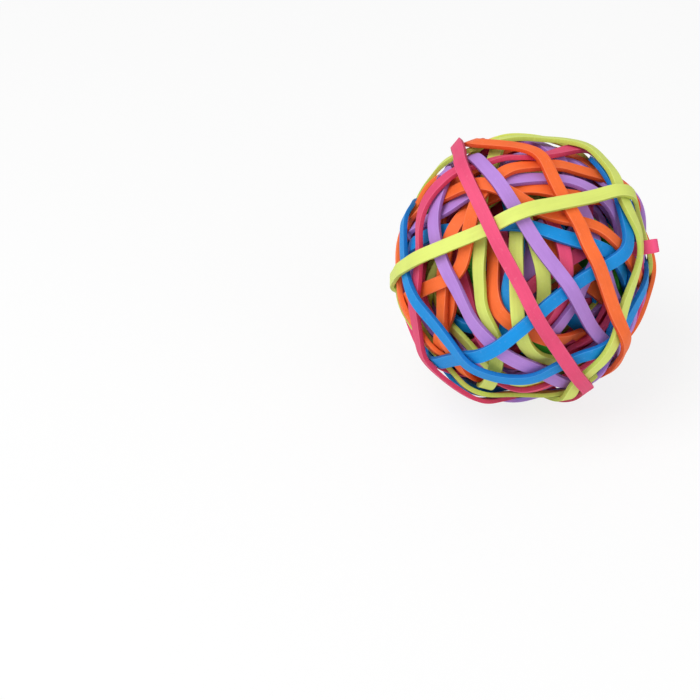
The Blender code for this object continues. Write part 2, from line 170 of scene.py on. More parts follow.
# What a bedded band's way costs: to change its level, to lie above or below the level that it
# seeks, and to cross another band, which costs this share even where nobody can look in and
# more within this depth of the outside
BEND_COST = 0.03
RISE_COST = 1000.0
SINK_COST = 20.0
CROSS_COST = 8.0
HIDDEN_SHARE = 0.15
SEEN_DEPTH = 0.003

# On the face the bedded bands lie under all the others; the face starts where directions have
# this share of the way to the camera, and is whole after this much more
FACE_START = 0.26
FACE_FADE = 0.16

# The small cells of the ball's room, and the map of directions about its middle: its rows, how
# far the outermost bands count for their surroundings, in rows, and the deepest low level
CELL = 0.0004
CELLS = 190
MAP_ROWS = 120
MAP_REACH = 9
LOW_LEVEL = 0.024

# The stage: half the floor's side, how much of the camera's floor is plain white, and the two
# lamps by their place from the ball's centre and their size, in metres
FLOOR_HALF = 3.0
FLOOR_WHITE = 0.80
KEY_PLACE = Vector((-0.28, -0.22, 0.55))
KEY_SIZE = 0.5
FILL_PLACE = Vector((0.45, -0.40, 0.30))
FILL_SIZE = 0.6
FILL_SHARE = 0.35


def linear(red, green, blue):
    """A screen colour as the linear colour that shaders take."""
    return tuple(
        value / 12.92 if value <= 0.04045 else ((value + 0.055) / 1.055) ** 2.4
        for value in (red, green, blue)
    )


class Term:
    """A node's output that takes part in sums, so that node maths reads as arithmetic."""

    def __init__(self, plan, socket):
        self.plan = plan
        self.socket = socket

    def sum_with(self, operation, first, second=0.0):
        return self.plan.node("ShaderNodeMath", {"operation": operation}, {0: first, 1: second})

    def __add__(self, other):
        return self.sum_with("ADD", self, other)

    def __radd__(self, other):
        return self.sum_with("ADD", other, self)

    def __sub__(self, other):
        return self.sum_with("SUBTRACT", self, other)

    def __rsub__(self, other):
        return self.sum_with("SUBTRACT", other, self)

    def __mul__(self, other):
        return self.sum_with("MULTIPLY", self, other)

    def __rmul__(self, other):
        return self.sum_with("MULTIPLY", other, self)

    def __truediv__(self, other):
        return self.sum_with("DIVIDE", self, other)

    def __abs__(self):
        return self.sum_with("ABSOLUTE", self)

    def ramped(self, low, high):
        """0 below low, 1 above high, and smooth in between."""
        values = {"Value": self, "From Min": low, "From Max": high, "To Min": 0.0, "To Max": 1.0}
        return self.plan.node("ShaderNodeMapRange", {"interpolation_type": "SMOOTHSTEP"}, values)


class Plan:
    """A node tree that is being laid out."""

    def __init__(self, tree):
        self.tree = tree
        self.tree.nodes.clear()

    def fill(self, node, values):
        """Links a node's sockets to terms, or sets them to plain values."""
        for key, value in values.items():
            socket = node.inputs[key]
            if isinstance(value, Term):
                self.tree.links.new(value.socket, socket)
            else:
                socket.default_value = value

    def made(self, kind, settings, values):
        """A new node with its settings made first and its sockets filled in."""
        node = self.tree.nodes.new(kind)
        for key, value in settings.items():
            setattr(node, key, value)
        self.fill(node, values)
        return node

    def node(self, kind, settings, values, output=0):
        """A node with its settings and sockets filled in, as the term of one of its outputs."""
        return Term(self, self.made(kind, settings, values).outputs[output])

    def tinted(self, first, second, share):
        """The first colour turned towards the second by the share."""
        node = self.tree.nodes.new("ShaderNodeMix")
        node.data_type = "RGBA"
        self.fill(node, {0: share, 6: first, 7: second})
        return Term(self, node.outputs[2])

    def scaled(self, vector, factors):
        """A vector with each of its parts multiplied."""
        return self.node("ShaderNodeVectorMath", {"operation": "MULTIPLY"}, {0: vector, 1: factors})

    def noise(self, vector, scale, detail=2.0, roughness=0.5):
        """Soft noise from 0 to 1 over a place."""
        values = {"Vector": vector, "Scale": scale, "Detail": detail, "Roughness": roughness}
        return self.node("ShaderNodeTexNoise", {"noise_dimensions": "3D"}, values)

    def own(self, name, output):
        """One of the mesh's own stored values."""
        return self.node("ShaderNodeAttribute", {"attribute_name": name}, {}, output)


def rubber_material(name, colour, side_shade_colour, dust):
    """Matte rubber: fine grain, lines along the band, a pale edge that is partly wear and partly
    painted highlight, and cut sides painted darker and deeper as painted shade.
    """
    material = bpy.data.materials.new(name)
    material.use_nodes = True
    plan = Plan(material.node_tree)
    spot = plan.node("ShaderNodeTexCoord", {}, {}, "Object")
    wound = plan.own("wound", "Vector")
    across = abs(plan.own("across", "Fac"))
    rise = abs(plan.own("rise", "Fac"))
    tone = plan.own("tone", "Fac")

    cloud = plan.noise(spot, CLOUDS, 3.0)
    grain = plan.noise(spot, GRAIN, 3.0, 0.6)
    fine_lines = plan.noise(plan.scaled(wound, FINE_LINES), 1.0, 3.0)
    streaks = plan.noise(plan.scaled(wound, STREAKS), 1.0, 2.0)
    lines = fine_lines * 0.5 + streaks * 0.5
    cuts = plan.noise(plan.scaled(wound, CUT_MARKS), 1.0, 2.0)
    flecks = plan.noise(spot, FLECKS, 2.0).ramped(0.60, 0.72)

    side = across.ramped(0.955, 0.985)
    # The pale line along the edges of the flat faces: partly worn edge, partly painted highlight
    worn_and_highlit_rim = across.ramped(0.90, 0.965) * (1.0 - side)
    shade = 0.22 + tone * 0.25 + cloud * 0.55 + lines * 0.65 - grain * 0.10
    dark = tuple(0.62 * part**1.15 for part in colour)
    # A paler tint, used for the dust flecks and for the painted highlight along the edges
    pale = tuple(part + 0.24 * (1.0 - part) for part in colour)
    face = plan.tinted((*dark, 1.0), (*colour, 1.0), shade)
    dusted_and_highlit = plan.tinted(face, (*pale, 1.0), flecks * dust + worn_and_highlit_rim * (0.25 + 0.35 * cloud))
    # The cut sides: a darker, deeper colour as painted shade, with the cut marks drawing it back
    # towards the band's colour
    shaded_cut_side = plan.tinted((*side_shade_colour, 1.0), (*colour, 1.0), cuts * 0.5)
    whole = plan.tinted(dusted_and_highlit, shaded_cut_side, side * (1.0 - rise.ramped(0.80, 1.0)) * 0.8)

    height = lines * 0.5 + grain * 0.5 + side * cuts * 0.8
    bump = plan.node("ShaderNodeBump", {}, {"Strength": 0.45, "Distance": 0.00006, "Height": height})
    shader = plan.made(
        "ShaderNodeBsdfPrincipled",
        {},
        {
            "Base Color": whole,
            "Roughness": 0.46 + grain * 0.16 + cloud * 0.08 + flecks * 0.1,
            "Normal": bump,
            "Specular IOR Level": 0.32,
        },
    )
    output = plan.made("ShaderNodeOutputMaterial", {}, {})
    plan.tree.links.new(shader.outputs[0], output.inputs["Surface"])
    material.diffuse_color = (*colour, 1.0)
    return material


def core_material(name, colours):
    """Old bands packed tight: strips of every colour that cross one another, darkened on a near-black
    ground as painted shade.
    """
    material = bpy.data.materials.new(name)
    material.use_nodes = True
    plan = Plan(material.node_tree)
    spot = plan.node("ShaderNodeTexCoord", {}, {}, "Object")
    about = plan.node(
        "ShaderNodeMapping", {"vector_type": "POINT"}, {"Vector": spot, "Location": tuple(-HUB)}
    )
    blurred = plan.noise(about, 90.0, 2.0)
    # A near-black ground between the packed strips, as painted shade
    surface = (0.02, 0.01, 0.015, 1.0)
    height = 0.0
    for number, colour in enumerate(colours):
        lean = (0.9 * number, 0.6 + 0.5 * number, 0.3 * number)
        values = {"Vector": about, "Rotation": lean}
        turned = plan.node("ShaderNodeMapping", {"vector_type": "POINT"}, values)
        level = plan.node("ShaderNodeSeparateXYZ", {}, {0: turned}, number % 3)
        waves = level * 640.0 + blurred * 2.0
        strip = abs(plan.node("ShaderNodeMath", {"operation": "SINE"}, {0: waves}))
        body = strip.ramped(0.70, 0.86)
        # Each strip darkened to a third of its colour, as painted shade
        dull = tuple(0.34 * part for part in colour)
        surface = plan.tinted(surface, (*dull, 1.0), body)
        height = body * 0.5 + height * (1.0 - body)
    grain = plan.noise(spot, 4800.0, 3.0)
    bump = plan.node(
        "ShaderNodeBump", {}, {"Strength": 0.8, "Distance": 0.0006, "Height": height + grain * 0.05}
    )
    values = {"Base Color": surface, "Roughness": 0.6 + grain * 0.15, "Normal": bump}
    shader = plan.made("ShaderNodeBsdfPrincipled", {}, values)
    output = plan.made("ShaderNodeOutputMaterial", {}, {})
    plan.tree.links.new(shader.outputs[0], output.inputs["Surface"])
    return material


def paired_points(shape):
    """The solid's points as pairs, one under the other through the band's thickness."""
    mates = {}
    for edge in sorted(shape.edges, key=lambda item: item.calc_length()):
        first, second = (point.index for point in edge.verts)
        if first not in mates and second not in mates:
            mates[first] = second
            mates[second] = first
    pairs = []
    owner = {}
    for first, second in mates.items():
        if first < second:
            owner[first] = owner[second] = len(pairs)
            pairs.append((first, second))
    return pairs, owner


def edge_chains(shape, pairs, owner):
    """The two chains of pairs along the band's two edges, which its side faces join."""
    beside = [set() for _ in pairs]
    for face in shape.faces:
        owners = {owner[point.index] for point in face.verts}
        if len(owners) == 2:
            first, second = owners
            beside[first].add(second)
            beside[second].add(first)
    chains = []
    unused = set(range(len(pairs)))
    while unused:
        chain = [min(unused)]
        unused.discard(chain[0])
        while True:
            onward = sorted(beside[chain[-1]] & unused)
            if not onward:
                break
            chain.append(onward[0])
            unused.discard(onward[0])
        chains.append(chain)
    return chains


def loop_stations(node):
    """A band's stations from its solid: the middle, the way across and the way out of each."""
    shape = bmesh.new()
    shape.from_mesh(frame["nodes"][node].data)
    bmesh.ops.remove_doubles(shape, verts=shape.verts, dist=LEAST_MERGE)
    shape.verts.index_update()
    points = np.array([point.co for point in shape.verts])
    pairs, owner = paired_points(shape)
    chains = edge_chains(shape, pairs, owner)
    shape.free()
    if [len(chain) for chain in chains] != [STATIONS, STATIONS]:
        raise RuntimeError(f"{node} isn't one loop of {STATIONS} stations")
    hub = np.array(HUB)
    ordered = [
        sorted(pair, key=lambda index: np.linalg.norm(points[index] - hub)) for pair in pairs
    ]
    ends = points[np.array(ordered)]
    left = ends[chains[0]]
    right = ends[chains[1]]
    tries = [
        np.roll(way, shift, axis=0) for way in (right, right[::-1]) for shift in range(STATIONS)
    ]
    right = min(tries, key=lambda way: np.linalg.norm(way - left, axis=2).sum())
    middle = (left + right).mean(axis=1) / 2
    over = right.mean(axis=1) - left.mean(axis=1)
    out = (left[:, 1] - left[:, 0] + right[:, 1] - right[:, 0]) / 2
    return middle, over, out


def ring_about(normal, count):
    """Directions evenly spaced round a great circle."""
    start = unit_rows(np.cross([normal], [(0.31, 0.52, 0.79)]))[0]
    side = np.cross(normal, start)
    turn = np.arange(count) * 2 * math.pi / count
    return np.outer(np.cos(turn), start) + np.outer(np.sin(turn), side)


class Cover:
    """The room that bands take up about the ball's middle, in small cells."""

    def __init__(self, names, width, thickness):
        self.taken = np.zeros((CELLS, CELLS, CELLS), bool)
        self.top = np.zeros((MAP_ROWS, 2 * MAP_ROWS))
        self.low = np.full((MAP_ROWS, 2 * MAP_ROWS), LOW_LEVEL)
        for name in names:
            middle, over, out = loop_stations(name)
            path = smooth_run(middle, 2 * FINE_STEPS) - np.array(HUB)
            over = unit_rows(smooth_run(over, 2 * FINE_STEPS))
            out = unit_rows(smooth_run(out, 2 * FINE_STEPS))
            self.take(path, over, out, width, thickness)
            for offset in np.linspace(-0.6, 0.6, 9) * width:
                self.note(path + over * offset + out * thickness / 2, self.top, np.maximum)
                self.note(path + over * offset - out * thickness / 2, self.low, np.minimum)
        self.outer = self.widened(self.top, MAP_REACH)

    def take(self, path, over, out, width, thickness):
        """Fills the cells that a band along the path takes up."""
        for offset in np.linspace(-0.5, 0.5, 11) * width:
            for rise in np.linspace(-0.5, 0.5, 4) * thickness:
                cell = np.floor((path + over * offset + out * rise) / CELL + CELLS / 2).astype(int)
                self.taken[cell[:, 0], cell[:, 1], cell[:, 2]] = True

    def crowding(self, directions, normal, width, thickness):
        """How full the room is where a band would lie, for each direction and each level."""
        filled = np.zeros((len(directions), len(LEVELS)))
        offsets = np.linspace(-0.58, 0.58, 9) * width
        rises = np.linspace(-0.5, 0.5, 5) * (thickness + 2 * BED_GAP)
        for offset in offsets:
            for rise in rises:
                places = directions[:, None, :] * (LEVELS + rise)[None, :, None] + normal * offset
                cell = np.floor(places / CELL + CELLS / 2).astype(int)
                filled += self.taken[cell[..., 0], cell[..., 1], cell[..., 2]]
        return filled / (len(offsets) * len(rises))

    def cells(self, points):
        """The map's row and column for each point, and its distance from the middle."""
        radius = np.linalg.norm(points, axis=1)
        down = np.arccos(np.clip(points[:, 2] / radius, -1, 1)) / math.pi * MAP_ROWS
        around = np.arctan2(points[:, 1], points[:, 0]) / math.pi * MAP_ROWS
        row = np.clip(down.astype(int), 0, MAP_ROWS - 1)
        return row, np.floor(around).astype(int) % (2 * MAP_ROWS), radius

    def note(self, points, held, pick):
        """Keeps the points' distances in a map wherever pick prefers them."""
        row, column, radius = self.cells(points)
        pick.at(held, (row, column), radius)

    def widened(self, values, reach):
        """The highest value of each direction's neighbours."""
        high = values.copy()
        rows = np.arange(MAP_ROWS)
        for shift in range(-reach, reach + 1):
            high = np.maximum(high, values[np.clip(rows + shift, 0, MAP_ROWS - 1)])
        level = np.sin((rows + 0.5) * math.pi / MAP_ROWS)
        wide = high.copy()
        for shift in range(1, 4 * reach):
            reached = (shift * level <= reach)[:, None]
            for way in (-shift, shift):
                wide = np.where(reached, np.maximum(wide, np.roll(high, way, axis=1)), wide)
        return wide

    def cost(self, directions, normal, width, thickness):
        """What it costs a bedded band to lie at each level: it keeps off the bands that can be
        seen, stays close under the outermost ones, and under all of them on the face."""
        row, column, _ = self.cells(directions)
        most = self.outer[row, column] - 0.5 * thickness - BED_DEPTH
        low = self.low[row, column] - 0.5 * thickness - BED_GAP
        share = np.clip((directions @ FACE_OUT - FACE_START) / FACE_FADE, 0, 1)
        most = most + (low - most) * share
        above = np.maximum(LEVELS[None, :] - most[:, None], 0)
        below = np.maximum(most[:, None] - LEVELS[None, :], 0)
        hidden = np.maximum(self.outer[row, column][:, None] - LEVELS[None, :], 0)
        touch = CROSS_COST * (HIDDEN_SHARE + np.exp(-hidden / SEEN_DEPTH))
        full = self.crowding(directions, normal, width, thickness)
        return full * touch + above * RISE_COST + below * SINK_COST


def easiest_way(costs):
    """The level for each step round a closed row of costs that is cheapest in all, and its cost."""
    count, levels = costs.shape
    held = np.zeros(levels)
    came = []
    for step in range(2 * count):
        tries = []
        for move in MOVES:
            moved = np.roll(held, move) + BEND_COST * abs(move)
            if move > 0:
                moved[:move] = np.inf
            if move < 0:
                moved[move:] = np.inf
            tries.append(moved)
        tries = np.array(tries)
        pick = tries.argmin(axis=0)
        came.append(MOVES[pick])
        held = tries.min(axis=0) + costs[step % count]
    level = int(held.argmin())
    way = []
    for step in range(2 * count - 1, -1, -1):
        way.append(level)
        level -= int(came[step][level])
    way = np.array(way[::-1])
    half = count // 2
    way = np.roll(way[half : half + count], half)
    return way, float(costs[np.arange(count), way].sum())


def smooth_run(values, steps):
    """A closed row of values carried through finer steps on one smooth curve."""
    before = np.roll(values, 1, axis=0)
    after = np.roll(values, -1, axis=0)
    later = np.roll(values, -2, axis=0)
    fine = []
    for step in range(steps):
        t = step / steps
        fine.append(
            0.5
            * (
                2 * values
                + (after - before) * t
                + (2 * before - 5 * values + 4 * after - later) * t**2
                + (3 * values - before - 3 * after + later) * t**3
            )
        )
    return np.stack(fine, axis=1).reshape(-1, values.shape[1])


def softened(values, reach):
    """A closed row of values, each averaged with those near it; reach is in rows."""
    most = int(math.ceil(3 * reach))
    weights = np.exp(-0.5 * (np.arange(-most, most + 1) / reach) ** 2)
    weights /= weights.sum()
    return sum(
        weight * np.roll(values, offset, axis=0)
        for offset, weight in zip(range(-most, most + 1), weights)
    )


def unit_rows(values):
    """Each row as a vector of length one."""
    return values / np.linalg.norm(values, axis=1, keepdims=True)


def section_ring():
    """The band's section as corners and the way each point leans out from its corner."""
    ring = []
    for corner_x, corner_y in ((1, 1), (-1, 1), (-1, -1), (1, -1)):
        start = math.degrees(math.atan2(corner_y, corner_x)) - 45
        turns = [math.radians(start + 45 * step) for step in range(3)]
        ring += [(corner_x, corner_y, math.cos(turn), math.sin(turn)) for turn in turns]
        if corner_x == corner_y:
            ring += [(share * corner_x, corner_y, 0.0, float(corner_y)) for share in FACE_SHARES]
    return ring


def wound_way(node, rounding):
    """The smooth way of a wound band and the way its face looks along it, from its solid."""
    middle, over, out = loop_stations(node)
    path = smooth_run(middle, FINE_STEPS)
    lengths = np.linalg.norm(np.roll(path, -1, axis=0) - path, axis=1)
    reach = rounding * len(path) / float(lengths.sum())
    return softened(path, reach), softened(smooth_run(unit_rows(out), FINE_STEPS), 1.6 * reach)


def bedded_way(normals, cover, sizes):
    """The way of a band bedded under the outermost ones, round the easiest of the great circles."""
    tries = []
    for normal in normals:
        directions = ring_about(normal, BED_POINTS)
        costs = cover.cost(directions, normal, sizes.band_width, sizes.band_thickness)
        levels, cost = easiest_way(costs)
        tries.append((cost, levels, normal, directions))
    _, levels, normal, directions = min(tries, key=lambda item: item[0])
    path = directions * softened(LEVELS[levels][:, None], BED_SOFTNESS)
    over = np.tile(normal, (BED_POINTS, 1))
    for turned in (0.0, 0.5):
        fine = path + (np.roll(path, -1, axis=0) - path) * turned
        cover.take(fine, over, directions, sizes.band_width, sizes.band_thickness)
    return np.array(HUB) + path, directions


def fold_way(sizes):
    """The way of a band's folded end: out beyond the ball, round a tight bend and back."""
    aim = FOLD_SPOT[0] * FACE_RIGHT + FOLD_SPOT[1] * FACE_UP + FOLD_RISE * FACE_OUT
    aim = aim / np.linalg.norm(aim)
    width = math.cos(FOLD_LEAN) * FACE_UP - math.sin(FOLD_LEAN) * FACE_RIGHT
    aside = np.cross(aim, width)
    aside = aside / np.linalg.norm(aside)
    bend = (sizes.band_thickness + FOLD_GAP) / 2
    straight = FOLD_LENGTH - 2 * bend - sizes.band_thickness
    turn = np.arange(FOLD_POINTS) * 2 * math.pi / FOLD_POINTS
    along = bend * np.cos(turn) + np.sign(np.cos(turn)) * straight / 2
    across = bend * np.sin(turn)
    middle = FOLD_TIP - FOLD_LENGTH / 2
    path = np.array(HUB) + np.outer(middle + along, aim) + np.outer(across, aside)
    return path, np.outer(np.cos(turn), aim) + np.outer(np.sin(turn), aside)


def path_mesh(name, path, lift, tone):
    """A mesh of two closed lines: the band's path, and its section for the nodes to carry along."""
    lengths = np.linalg.norm(np.roll(path, -1, axis=0) - path, axis=1)
    total = float(lengths.sum())
    ahead = unit_rows(np.roll(path, -1, axis=0) - np.roll(path, 1, axis=0))
    lift = unit_rows(lift - (lift * ahead).sum(axis=1, keepdims=True) * ahead)

    turned = 2 * math.pi * np.concatenate([[0.0], np.cumsum(lengths)[:-1]]) / total
    radius = total / (2 * math.pi)
    ring = section_ring()
    count = len(path)
    mesh = bpy.data.meshes.new(name)
    edges = [(index, (index + 1) % count) for index in range(count)]
    edges += [(count + index, count + (index + 1) % len(ring)) for index in range(len(ring))]
    points = [tuple(place) for place in path] + [(item[0], item[1], 0.0) for item in ring]
    mesh.from_pydata(points, edges, [])

    blank = np.zeros((len(ring), 3))
    leans = np.array([(item[2], item[3], 0.0) for item in ring])
    stored = {
        "lift": np.vstack([lift, leans]),
        "turned": np.vstack(
            [np.stack([radius * np.cos(turned), radius * np.sin(turned), 0 * turned], axis=1), blank]
        ),
    }
    for key, rows in stored.items():
        mesh.attributes.new(key, "FLOAT_VECTOR", "POINT").data.foreach_set(
            "vector", rows.astype(np.float32).ravel()
        )
    is_section = np.concatenate([np.zeros(count), np.ones(len(ring))])
    mesh.attributes.new("is_section", "FLOAT", "POINT").data.foreach_set(
        "value", is_section.astype(np.float32)
    )
    fullness = np.ones(count)
    for waves, shift, height in SWELLS:
        fullness = fullness + height * np.sin(waves * turned + shift * tone)
    mesh.attributes.new("fullness", "FLOAT", "POINT").data.foreach_set(
        "value", np.concatenate([fullness, np.ones(len(ring))]).astype(np.float32)
    )
    return mesh


def band_tree():
    """The nodes that carry a rounded section along a path, facing the way the path says."""
    found = bpy.data.node_groups.get("band_along_a_path")
    if found:
        return found
    tree = bpy.data.node_groups.new("band_along_a_path", "GeometryNodeTree")
    plan = Plan(tree)
    tree.interface.new_socket("Lines", in_out="INPUT", socket_type="NodeSocketGeometry")
    sizes = {"Band width": 0.0032, "Band thickness": 0.001, "Edge radius": 0.00014, "Band tone": 0.5}
    for name, value in sizes.items():
        socket = tree.interface.new_socket(name, in_out="INPUT", socket_type="NodeSocketFloat")
        socket.default_value = value
    tree.interface.new_socket("Rubber", in_out="INPUT", socket_type="NodeSocketMaterial")
    tree.interface.new_socket("Band", in_out="OUTPUT", socket_type="NodeSocketGeometry")
    given = tree.nodes.new("NodeGroupInput")

    def taken(name):
        return Term(plan, given.outputs[name])

    def own(name, kind):
        return plan.node("GeometryNodeInputNamedAttribute", {"data_type": kind}, {"Name": name})

    def stored(geometry, name, kind, value):
        settings = {"data_type": kind, "domain": "POINT"}
        values = {"Geometry": geometry, "Name": name, "Value": value}
        return plan.node("GeometryNodeStoreNamedAttribute", settings, values)

    parts = plan.made(
        "GeometryNodeSeparateGeometry",
        {"domain": "POINT"},
        {"Geometry": taken("Lines"), "Selection": own("is_section", "FLOAT")},
    )
    section = Term(plan, parts.outputs["Selection"])
    path = Term(plan, parts.outputs["Inverted"])

    half_wide = taken("Band width") * 0.5
    half_thick = taken("Band thickness") * 0.5
    radius = taken("Edge radius")
    place = plan.made(
        "ShaderNodeSeparateXYZ", {}, {0: plan.node("GeometryNodeInputPosition", {}, {})}
    )
    lean = plan.made("ShaderNodeSeparateXYZ", {}, {0: own("lift", "FLOAT_VECTOR")})
    wide = Term(plan, place.outputs[0]) * (half_wide - radius) + Term(plan, lean.outputs[0]) * radius
    thick = Term(plan, place.outputs[1]) * (half_thick - radius) + Term(plan, lean.outputs[1]) * radius
    section = stored(section, "across", "FLOAT", wide / half_wide)
    section = stored(section, "rise", "FLOAT", thick / half_thick)
    corner = plan.node("ShaderNodeCombineXYZ", {}, {0: thick, 1: wide, 2: 0.0})
    section = plan.node("GeometryNodeSetPosition", {}, {"Geometry": section, "Position": corner})

    section = plan.node("GeometryNodeMeshToCurve", {}, {"Mesh": section})
    path = plan.node("GeometryNodeMeshToCurve", {}, {"Mesh": path})
    path = plan.node(
        "GeometryNodeSetCurveNormal",
        {"mode": "FREE"},
        {"Curve": path, "Normal": own("lift", "FLOAT_VECTOR")},
    )
    band = plan.node(
        "GeometryNodeCurveToMesh",
        {},
        {"Curve": path, "Profile Curve": section, "Scale": own("fullness", "FLOAT")},
    )
    turned = plan.made("ShaderNodeSeparateXYZ", {}, {0: own("turned", "FLOAT_VECTOR")})
    wound = plan.node(
        "ShaderNodeCombineXYZ",
        {},
        {
            0: Term(plan, turned.outputs[0]),
            1: Term(plan, turned.outputs[1]),
            2: own("across", "FLOAT") * half_wide,
        },
    )
    band = stored(band, "wound", "FLOAT_VECTOR", wound)
    band = stored(band, "tone", "FLOAT", taken("Band tone"))
    band = plan.node("GeometryNodeSetShadeSmooth", {}, {"Geometry": band, "Shade Smooth": True})
    band = plan.node("GeometryNodeRealizeInstances", {}, {"Geometry": band})
    band = plan.node("GeometryNodeSetMaterial", {}, {"Geometry": band, "Material": taken("Rubber")})
    plan.made("NodeGroupOutput", {}, {"Band": band})
    return tree


def nodes_result(obj, tree, values):
    """What the node tree makes of the object, as a plain mesh."""
    modifier = obj.modifiers.new("wind", "NODES")
    modifier.node_group = tree
    named = {
        item.name: item.identifier
        for item in tree.interface.items_tree
        if item.item_type == "SOCKET" and item.in_out == "INPUT"
    }
    for name, value in values.items():
        modifier[named[name]] = value
    bpy.context.view_layer.update()
    graph = bpy.context.evaluated_depsgraph_get()
    mesh = bpy.data.meshes.new_from_object(obj.evaluated_get(graph), depsgraph=graph)
    obj.modifiers.remove(modifier)
    return mesh


def faced_out(mesh):
    """The mesh with its faces turned outwards."""
    shape = bmesh.new()
    shape.from_mesh(mesh)
    bmesh.ops.recalc_face_normals(shape, faces=shape.faces)
    if shape.calc_volume(signed=True) < 0:
        bmesh.ops.reverse_faces(shape, faces=shape.faces)
    shape.to_mesh(mesh)
    shape.free()


def band_along(name, path, lift, sizes, material, tone):
    """One smooth band along a closed path, riding on the ball."""
    lines = path_mesh(name + "_lines", path, lift, tone)
    band = bpy.data.objects.new(name, lines)
    bpy.context.scene.collection.objects.link(band)
    values = {
        "Band width": sizes.band_width,
        "Band thickness": sizes.band_thickness,
        "Edge radius": sizes.edge_radius,
        "Band tone": tone,
        "Rubber": material,
    }
    mesh = nodes_result(band, band_tree(), values)
    if not mesh.polygons:
        raise RuntimeError(f"{name} gave no band")
    band.data = mesh
    mesh.name = name
    bpy.data.meshes.remove(lines)
    for unused in ("lift", "turned", "fullness", "is_section"):
        if unused in mesh.attributes:
            mesh.attributes.remove(mesh.attributes[unused])
    faced_out(mesh)
    if not mesh.materials:
        mesh.materials.append(material)
    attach(band, "root")
    return band


class BandSizes(bpy.types.PropertyGroup):
    """The sizes of every band on the ball."""

    band_width: bpy.props.FloatProperty(
        name="Band width",
        description="Width of a band's flat face",
        default=0.0032,
        min=0.001,
        max=0.008,
        precision=5,
        subtype="DISTANCE",
        unit="LENGTH",
    )
    band_thickness: bpy.props.FloatProperty(
        name="Band thickness",
        description="Thickness of the rubber",
        default=0.00108,
        min=0.0004,
        max=0.003,
        precision=5,
        subtype="DISTANCE",
        unit="LENGTH",
    )
    edge_radius: bpy.props.FloatProperty(
        name="Edge radius",
        description="Radius of the worn edges of a band",
        default=0.00012,
        min=0.00002,
        max=0.0005,
        precision=5,
        subtype="DISTANCE",
        unit="LENGTH",
    )
    rounding: bpy.props.FloatProperty(
        name="Rounding",
        description="How far a bend over another band is spread along the band",
        default=0.0013,
        min=0.0001,
        max=0.004,
        precision=5,
        subtype="DISTANCE",
        unit="LENGTH",
    )


def colour_property(name, colour):
    """A colour that the panel offers for one kind of rubber."""
    return bpy.props.FloatVectorProperty(
        name=name,
        description=f"Colour of the {name.lower()} rubber",
        subtype="COLOR",
        size=3,
        min=0.0,
        max=1.0,
        default=colour,
    )


class BandColours(bpy.types.PropertyGroup):
    """The colours of the rubber."""

    lime: colour_property("Lime", linear(0.86, 0.91, 0.45))
    orange: colour_property("Orange", linear(1.00, 0.45, 0.20))
    pink: colour_property("Pink", linear(0.91, 0.30, 0.47))
    blue: colour_property("Blue", linear(0.00, 0.57, 0.88))
    purple: colour_property("Purple", linear(0.73, 0.54, 0.86))
    green: colour_property("Green", linear(0.29, 0.74, 0.24))
    dust: bpy.props.FloatProperty(
        name="Dust",
        description="How much of the pale dust of new rubber shows on the faces",
        default=0.16,
        min=0.0,
        max=1.0,
        subtype="FACTOR",
    )


class StageLook(bpy.types.PropertyGroup):
    """The floor, the light and the camera."""

    floor_colour: bpy.props.FloatVectorProperty(
        name="Floor colour",
        description="Colour of the floor under the ball",
        subtype="COLOR",
        size=3,
        min=0.0,
        max=1.0,
        default=(0.92, 0.92, 0.92),
    )
    sky_strength: bpy.props.FloatProperty(
        name="Sky strength",
        description="Strength of the even light from all round",
        default=0.50,
        min=0.0,
        max=2.0,
    )
    key_power: bpy.props.FloatProperty(
        name="Key power",
        description="Power of the wide lamp above and to the left",
        default=2.7,
        min=0.0,
        max=50.0,
    )
    lens: bpy.props.FloatProperty(
        name="Lens",
        description="Focal length of the camera in millimetres",
        default=100.0,
        min=20.0,
        max=300.0,
    )
    distance: bpy.props.FloatProperty(
        name="Distance",
        description="From the camera to the ball's centre",
        default=0.470,
        min=0.1,
        max=5.0,
        subtype="DISTANCE",
        unit="LENGTH",
    )
    elevation: bpy.props.FloatProperty(
        name="Elevation",
        description="How far above the horizon the camera stands",
        default=math.radians(35.0),
        min=0.0,
        max=math.radians(89.0),
        subtype="ANGLE",
        unit="ROTATION",
    )


def bands_of(rubber):
    """The solid bands of one colour, in the order of their names."""
    found = []
    for name in sorted(frame["nodes"]):
        words = name.split("_")
        if words[0] == "band" and words[1] == rubber:
            found.append(name)
    return found


def wind_all(rubber):
    """Winds every band of one colour with that colour's own rubber."""
    scene = bpy.context.scene
    colour = tuple(getattr(scene.band_colours, rubber))
    # A darker, deeper colour for the cut sides, as painted shade
    shaded_side_tint = tuple(0.70 * part**1.5 for part in colour)
    material = rubber_material("rubber_" + rubber, colour, shaded_side_tint, scene.band_colours.dust)
    draw = random.Random(f"{TONE_SEED} {rubber}")
    names = bands_of(rubber)
    if not names:
        raise RuntimeError(f"the model has no {rubber} band")
    for node in names:
        path, lift = wound_way(node, scene.band_sizes.rounding)
        name = node.replace("band_", "wound_", 1)
        band = band_along(name, path, lift, scene.band_sizes, material, draw.random())
        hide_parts(node)


def outline_normal(way, lean):
    """Across the plane of a loop near the ball's outline, turned and leaning by these degrees."""
    turn = math.radians(way)
    tilt = math.radians(lean)
    aside = math.cos(turn) * FACE_RIGHT + math.sin(turn) * FACE_UP
    return math.cos(tilt) * FACE_OUT - math.sin(tilt) * aside


def bed_choices():
    """The colour of every bedded band and the planes that it may lie in."""
    beds = []
    for rubber, way, lean in OUTLINE_BEDS:
        near = [(way + turn, lean + tilt) for turn in (-8, 0, 8) for tilt in (-1.5, 0, 1.5)]
        beds.append((rubber, [outline_normal(*place) for place in near]))
    draw = np.random.default_rng(BED_SEED)
    for rubber in CROSSING_BEDS:
        beds.append((rubber, unit_rows(draw.normal(size=(CROSSING_TRIES, 3)))))
    return beds


